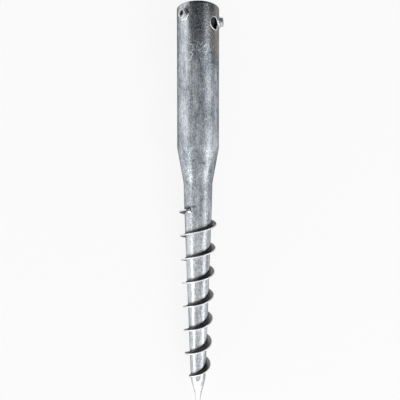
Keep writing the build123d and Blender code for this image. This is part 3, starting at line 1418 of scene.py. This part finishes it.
@dataclass
class ClampNut:
    """One M8 nut welded to the tube, with its thread.

    Attributes:
        number: Which nut this is.
        x: Station along the axis.
        azimuth: Azimuth in degrees.
        tube_radius: Outer radius of the tube.
        bore_radius: Radius inside the thread's crests.
        across_flats: Width across the flats.
        height: Height above the tube.
        face_share: Width of the flat face, as a share of the width across the flats.
        chamfer: Slope of the upper chamfer.
        foot_chamfer: How much wider the foot is than the face, before the flats cut it.
        edge_round: Rounding of the edges.
        thread_radius: Radius of the wall between the ridges.
        thread_pitch: Advance of the thread in one turn.
        thread_foot: Half width of the ridge's foot, in pitches.
        thread_crest: Half width of its crest, as a share of the foot's.
        thread_sink: How far the ridge stands in the wall.
        thread_trim: Gap that it leaves at the foot and at the face.
    """

    number: int
    x: float
    azimuth: float
    tube_radius: float
    bore_radius: float
    across_flats: float = 13.0 * MM
    height: float = 6.5 * MM
    face_share: float = 0.95
    chamfer: float = math.radians(30.0)
    foot_chamfer: float = 1.6 * MM
    edge_round: float = 0.22 * MM
    thread_radius: float = 4.05 * MM
    thread_pitch: float = 1.25 * MM
    thread_foot: float = 0.44
    thread_crest: float = 0.25
    thread_sink: float = 0.1 * MM
    thread_trim: tuple[float, float] = (0.15 * MM, 0.3 * MM)

    def hexagon(self) -> bmesh.types.BMesh:
        """The nut's blank: a hexagon standing on the tube."""
        bm = bmesh.new()
        corner_to_x = Matrix.Rotation(math.pi / 2, 4, "Z")
        radius = self.across_flats / math.sqrt(3)
        bmesh.ops.create_circle(bm, cap_ends=True, segments=6, radius=radius, matrix=corner_to_x)
        grown = bmesh.ops.extrude_face_region(bm, geom=list(bm.faces))
        top = [item for item in grown["geom"] if isinstance(item, bmesh.types.BMVert)]
        bmesh.ops.translate(bm, verts=top, vec=(0.0, 0.0, self.height))
        bmesh.ops.recalc_face_normals(bm, faces=bm.faces)
        return bm

    def chamfer_cone(self) -> bmesh.types.BMesh:
        """The double cone whose outside leaves the curved chamfers on the corners."""
        face = self.across_flats / 2 * self.face_share
        middle = face + self.height / 2 / math.tan(self.chamfer)
        below, above = -0.02 * MM, self.height + 0.01 * MM
        outline = (
            (0.0, below),
            (face + self.foot_chamfer, below),
            (middle, self.height / 2),
            (face, above),
            (0.0, above),
        )
        return spin_outline([Vector((r, 0.0, level)) for r, level in outline], 72, UPRIGHT)

    def thread(self) -> bmesh.types.BMesh:
        """The thread's ridge, wound inside the bore and trimmed at both faces."""
        turns = self.height / self.thread_pitch + 1.0
        start = -0.5 * self.thread_pitch
        foot = self.thread_pitch * self.thread_foot
        crest = foot * self.thread_crest
        wall, bore = self.thread_radius + self.thread_sink, self.bore_radius
        corners = ((-foot, wall), (-crest, bore), (crest, bore), (foot, wall))
        section = [Vector((start + x, 0.0, radius)) for x, radius in corners]
        bm = helix_sweep(section, 0.0, self.thread_pitch, turns, 36)
        low, high = self.thread_trim
        for level, side in ((low, -1.0), (self.height - high, 1.0)):
            cutting = bmesh.ops.bisect_plane(
                bm,
                geom=list(bm.verts) + list(bm.edges) + list(bm.faces),
                dist=0.0001 * MM,
                plane_co=(level, 0.0, 0.0),
                plane_no=(side, 0.0, 0.0),
                clear_outer=True,
            )
            rim = [item for item in cutting["geom_cut"] if isinstance(item, bmesh.types.BMEdge)]
            bmesh.ops.holes_fill(bm, edges=rim, sides=0)
        upright = Matrix.Rotation(-math.pi / 2, 4, "Y")
        bmesh.ops.transform(bm, matrix=upright, verts=bm.verts)
        return bm

    def soften(self, bm: bmesh.types.BMesh) -> None:
        """Round the nut's edges with zinc."""
        bmesh.ops.remove_doubles(bm, verts=bm.verts, dist=0.005 * MM)
        sharpest = 0.35
        sharp = [
            edge
            for edge in bm.edges
            if len(edge.link_faces) == 2 and edge.calc_face_angle() > sharpest
        ]
        bmesh.ops.bevel(
            bm,
            geom=sharp,
            offset=self.edge_round,
            offset_type="OFFSET",
            segments=2,
            profile=0.5,
            affect="EDGES",
            material=-1,
            clamp_overlap=True,
        )

    def add_thread(self, bm: bmesh.types.BMesh) -> None:
        """Mark the bore with painted shade and wind the thread's ridge into it."""
        inside = bm.verts.layers.float.new("painted_hollow_shade")
        bore = self.thread_radius + self.thread_sink
        below_face = self.height - 0.4 * MM
        for vert in bm.verts:
            deep = vert.co.z < below_face and vert.co.xy.length < bore
            vert[inside] = 1.0 if deep else 0.0
        coil = self.thread()
        ridge = bpy.data.meshes.new("thread_ridge")
        coil.to_mesh(ridge)
        coil.free()
        known = len(bm.verts)
        bm.from_mesh(ridge)
        bpy.data.meshes.remove(ridge)
        bm.verts.ensure_lookup_table()
        for index in range(known, len(bm.verts)):
            bm.verts[index][inside] = 1.0

    def build(self, rest: RestFrame, material: bpy.types.Material) -> bpy.types.Object:
        """Make the nut.

        Args:
            rest: Where the screw lies.
            material: The nut's finish.

        Returns:
            The finished piece.
        """
        obj = to_object(f"clamp_nut_{self.number}_hex", self.hexagon(), material, 25.0)
        cut(obj, [self.chamfer_cone()], "INTERSECT")
        cut(obj, [rod(self.thread_radius, self.height * 3, Matrix.Identity(4), 48)])
        mesh = obj.data
        bm = bmesh.new()
        bm.from_mesh(mesh)
        self.soften(bm)
        self.add_thread(bm)
        place = seat(self.x, self.azimuth, self.tube_radius)
        bmesh.ops.transform(bm, matrix=place, verts=bm.verts)
        rest.place(bm)
        bm.to_mesh(mesh)
        bm.free()
        mesh.polygons.foreach_set("use_smooth", [True] * len(mesh.polygons))
        mesh.set_sharp_from_angle(angle=math.radians(28.0))
        return hand_on(obj, Slot.NUT, f"clamp_nut_{self.number}")


@dataclass
class NutWeld:
    """Rippled weld bead round the foot of one nut.

    Attributes:
        number: Which nut it holds.
        x: Station along the axis.
        azimuth: Azimuth in degrees.
        tube_radius: Outer radius of the tube.
        across_flats: Width of the nut across its flats.
        corner_reach: Farthest that the bead's middle goes out, in half widths of the nut.
        leg: Leg of the bead.
        height_share: Height of the bead, as a share of the leg.
        sink: Lowest level of the bead before it is flattened.
        ripples: Ripples round the nut.
        ripple: Height of a ripple, as a share of the leg.
        unevenness: Height of the slower lumps, as a share of the leg.
        shaded_side: Angle round the nut, on its mouth side, at which the bead is painted darkest
            as shade.
        shaded_share: How dark the painted shade is there.
        steps: Steps in the full turn.
    """

    number: int
    x: float
    azimuth: float
    tube_radius: float
    across_flats: float = 13.0 * MM
    corner_reach: float = 1.11
    leg: float = 2.5 * MM
    height_share: float = 0.8
    sink: float = 1.4 * MM
    ripples: int = 17
    ripple: float = 0.06
    unevenness: float = 0.12
    # Painted shade on the bead's mouth side.
    shaded_side: float = math.radians(140.0)
    shaded_share: float = 0.85
    steps: int = 150

    def ring_radius(self, angle: float) -> float:
        """Distance from the nut's axis to the middle of the bead at an angle round it."""
        sixth = math.pi / 3
        turned = (angle + sixth / 2) % sixth - sixth / 2
        side = self.across_flats / 2 / math.cos(turned)
        return min(side, self.across_flats / 2 * self.corner_reach)

    def settle(self, bm: bmesh.types.BMesh) -> None:
        """Press the round ring against the nut's flats, ripple it, and paint shade on its mouth
        side.
        """
        base = self.across_flats / 2
        this_nut = Vector((self.number, 0.0, 0.0))
        darkening = bm.verts.layers.float.new("painted_shade_and_dark_patch")
        for vert in bm.verts:
            angle = math.atan2(vert.co.y, vert.co.x)
            radius = math.hypot(vert.co.x, vert.co.y)
            # Painted shade, darkest on the bead's mouth side.
            facing = (math.cos(angle - self.shaded_side) - 0.3) * 3.0
            vert[darkening] = self.shaded_share * unit(facing)
            wave = math.sin(angle * self.ripples + noise.noise(vert.co * 300.0) * 1.5)
            lumps = noise.noise(vert.co * 180.0 + this_nut)
            swell = 1.0 + self.ripple * wave + self.unevenness * lumps
            height = max(vert.co.z, -self.sink) * self.height_share * swell
            reach = self.ring_radius(angle) + (radius - base) * swell
            vert.co = Vector((math.cos(angle) * reach, math.sin(angle) * reach, height))

    def build(self, rest: RestFrame, material: bpy.types.Material) -> bpy.types.Object:
        """Make the bead.

        Args:
            rest: Where the screw lies.
            material: The bead's finish.

        Returns:
            The finished piece.
        """
        middle = Vector((self.across_flats / 2, 0.0, 0.0))
        bm = spin_ring(self.leg, 18, middle, self.steps)
        self.settle(bm)
        bmesh.ops.recalc_face_normals(bm, faces=bm.faces)
        wrap_on_tube(bm, self.tube_radius)
        place = seat(self.x, self.azimuth, self.tube_radius)
        bmesh.ops.transform(bm, matrix=place, verts=bm.verts)
        node = f"nut_weld_{self.number}"
        return lay_down(f"{node}_bead", bm, rest, material, Slot.WELD, node, sharp=60.0)


# ---------------------------------------------------------------------------
# Studio
# ---------------------------------------------------------------------------


@dataclass(frozen=True)
class SoftPanel:
    """One soft lamp, placed by direction from the middle of the screw.

    Attributes:
        name: Name of the lamp.
        along: Angle in degrees towards the point, from square to the axis.
        around: Angle in degrees about the axis, from the camera's side to its right.
        size: Length and width in metres.
        radiance: Brightness of its face, where one is white.
        distance: How far it hangs.
    """

    name: str
    along: float
    around: float
    size: tuple[float, float]
    radiance: float
    distance: float = 3.0


PANELS = (
    SoftPanel("left_head", -14.0, -64.0, (2.6, 1.0), 0.66),
    SoftPanel("left_point", 33.0, -58.0, (2.1, 1.3), 2.0),
    SoftPanel("above", 7.0, -4.0, (1.5, 2.4), 0.24),
    SoftPanel("right_head", -19.0, 54.0, (0.9, 1.6), 0.95),
    SoftPanel("right_middle", 4.0, 60.0, (1.2, 2.2), 0.42),
    SoftPanel("right_point", 32.0, 66.0, (2.2, 1.6), 1.3),
    SoftPanel("end", 60.0, -5.0, (2.2, 3.6), 1.25),
)


@dataclass
class Studio:
    """Pale floor, soft lamps and the camera above the lying screw.

    Attributes:
        sizes: Driving sizes.
        rest: Where the screw lies.
        look_x: Station of the axis that the camera looks at.
        distance: Distance from there to the camera.
        pitch: How far, in degrees, the point leans away from the camera.
        azimuth: Azimuth of the camera about the screw's axis.
        aside: How far the view's centre lies beside the axis.
        lens: Focal length for a 36 mm sensor, in millimetres.
        floor_white: Share of plain white in the floor as it is seen.
        room_light: Brightness of the grey light that fills most of the room.
        dark_ceiling: Brightness of the ceiling above the socket's end.
        ceiling_edges: Directions between which the room turns into that ceiling, by axis.
        floor_half: Half the floor's width in metres.
        floor_grey: Brightness of the floor's own colour.
    """

    sizes: ScrewSizes
    rest: RestFrame
    look_x: float = 305.8 * MM
    distance: float = 649.3 * MM
    pitch: float = 2.8
    azimuth: float = -21.0
    aside: float = 3.2 * MM
    lens: float = 35.55
    floor_white: float = 0.85
    room_light: float = 0.64
    dark_ceiling: float = 0.03
    ceiling_edges: tuple[tuple[str, float, float], ...] = (("X", -0.265, -0.345), ("Z", 0.2, 0.45))
    floor_half: float = 20.0
    floor_grey: float = 0.93

    def aim(self) -> Matrix:
        """Place of the camera in the shared frame."""
        normal = outward(self.azimuth)
        lean = math.radians(self.pitch)
        forward = -normal * math.cos(lean) + AXIS * math.sin(lean)
        up = -(AXIS * math.cos(lean) + normal * math.sin(lean))
        right = forward.cross(up)
        place = AXIS * self.look_x - forward * self.distance + right * self.aside
        turn = Matrix((right, up, -forward)).transposed().to_4x4()
        return self.rest.matrix() @ Matrix.Translation(place) @ turn

    def camera(self) -> None:
        """Make the camera and let the scene use it."""
        data = bpy.data.cameras.new("camera")
        data.sensor_width = 36.0
        data.lens = self.lens
        data.clip_start = 0.01
        data.clip_end = 50.0
        obj = bpy.data.objects.new("camera", data)
        obj.matrix_world = self.aim()
        bpy.context.scene.collection.objects.link(obj)
        bpy.context.scene.camera = obj

    def floor(self) -> None:
        """Lay the floor under the lowest point of the screw."""
        low = min(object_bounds()[0][2], 0.0)
        bm = bmesh.new()
        middle = Matrix.Translation((self.sizes.length / 2, 0.0, low))
        size = self.floor_half
        bmesh.ops.create_grid(bm, x_segments=8, y_segments=8, size=size, matrix=middle)
        material = bpy.data.materials.new("floor_paper")
        material.use_nodes = True
        shader = material.node_tree.nodes["Principled BSDF"]
        shader.inputs["Base Color"].default_value = (*[self.floor_grey] * 3, 1.0)
        shader.inputs["Roughness"].default_value = 0.9
        shader.inputs["Specular IOR Level"].default_value = 0.1
        self.whiten(material.node_tree, shader)
        to_object("floor", bm, material)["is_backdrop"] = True

    def whiten(self, tree: bpy.types.NodeTree, shader: bpy.types.Node) -> None:
        """Let the eye, metal and glass see the floor closer to white, with its shadows kept.

        Args:
            tree: The floor material's nodes.
            shader: The floor's own shader.
        """
        kit = NodeKit(tree)
        rays = kit.node("ShaderNodeLightPath").outputs
        seen = rays["Is Camera Ray"]
        for name in ("Is Glossy Ray", "Is Transmission Ray"):
            seen = kit.math("MAXIMUM", seen, rays[name])
        share = kit.math("MULTIPLY", seen, self.floor_white)
        white = kit.node("ShaderNodeEmission")
        ends = {0: share, 1: shader.outputs[0], 2: white.outputs[0]}
        mixed = kit.node("ShaderNodeMixShader", ends).outputs[0]
        feed(tree, tree.nodes["Material Output"].inputs["Surface"], mixed)

    def panel(self, lamp: SoftPanel) -> None:
        """Hang a soft panel that faces the middle of the screw.

        Args:
            lamp: Where it hangs, how large it is and how bright.
        """
        tilt = self.rest.matrix().to_3x3()
        axis = tilt @ AXIS
        across = tilt @ outward(self.azimuth + lamp.around)
        along = math.radians(lamp.along)
        normal = across * math.cos(along) + axis * math.sin(along)
        target = self.rest.matrix() @ Vector((self.look_x, 0.0, 0.0))
        length = (axis - normal * axis.dot(normal)).normalized()
        turn = Matrix((length, normal.cross(length), normal)).transposed().to_4x4()
        data = bpy.data.lights.new(lamp.name, "AREA")
        data.shape = "RECTANGLE"
        data.size, data.size_y = lamp.size
        data.energy = lamp.radiance * math.pi * lamp.size[0] * lamp.size[1]
        obj = bpy.data.objects.new(lamp.name, data)
        obj.matrix_world = Matrix.Translation(target + normal * lamp.distance) @ turn
        bpy.context.scene.collection.objects.link(obj)

    def world(self) -> None:
        """Fill the room with a grey light, with a dark ceiling above the socket's end."""
        world = bpy.data.worlds.new("room")
        world.use_nodes = True
        tree = world.node_tree
        kit = NodeKit(tree)
        direction = kit.node("ShaderNodeTexCoord").outputs["Generated"]
        split = kit.node("ShaderNodeSeparateXYZ", {0: direction}).outputs
        weights = [
            kit.remap(split[axis], "SMOOTHSTEP", From_Min=start, From_Max=end)
            for axis, start, end in self.ceiling_edges
        ]
        both = kit.math("MULTIPLY", *weights)
        shade = kit.remap(both, To_Min=self.room_light, To_Max=self.dark_ceiling)
        feed(tree, tree.nodes["Background"].inputs["Color"], shade)
        bpy.context.scene.world = world

    def build(self) -> None:
        """Set up everything that isn't the screw."""
        self.floor()
        self.camera()
        self.world()
        for lamp in PANELS:
            self.panel(lamp)
        bpy.context.scene.view_settings.view_transform = "Standard"


# ---------------------------------------------------------------------------
# The whole screw
# ---------------------------------------------------------------------------


def tube_seat(rest: RestFrame, entry: dict) -> tuple[float, float]:
    """Station and azimuth of a mount on the tube."""
    place = rest.local(Vector(entry["pos_m"]))
    return place.x, azimuth_of(place)


def main() -> None:
    """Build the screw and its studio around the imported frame."""
    logging.basicConfig(level=logging.INFO, format="%(name)s %(message)s")
    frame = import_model()
    record = frame["record"]
    rest = RestFrame.from_record(record)
    sizes = ScrewSizes()
    finishes = build_finishes()
    bar = mount(record, "driving_bar_hole")
    bar_x, bar_azimuth = tube_seat(rest, bar)
    bar_radius = bar["dims"]["r_mm"] * MM
    threads = [mount(record, f"clamp_thread_{k}") for k in (1, 2, 3)]
    seats = [tube_seat(rest, entry) for entry in threads]
    tube = ShaftTube(sizes, (bar_x, bar_azimuth, bar_radius), seats)
    tube.build(rest, finishes["tube"])
    for side, turn in (("near", 0.0), ("far", 180.0)):
        lip = HoleLip(bar_x, bar_azimuth + turn, bar_radius, sizes.tube_radius)
        lip.build(f"bar_hole_lip_{side}", rest, finishes["bead"])
    HelicalFlight(sizes).build(rest, finishes["flight"])
    RootWeld(sizes).build(rest, finishes["root"])
    StartNugget(sizes).build(rest, finishes["bead"])
    for number, (x, azimuth) in enumerate(seats, start=1):
        bore = threads[number - 1]["dims"]["r_mm"] * MM
        ClampNut(number, x, azimuth, sizes.tube_radius, bore).build(rest, finishes["nut"])
        NutWeld(number, x, azimuth, sizes.tube_radius).build(rest, finishes["bead"])
    Studio(sizes, rest).build()


if __name__ == "__main__":
    main()
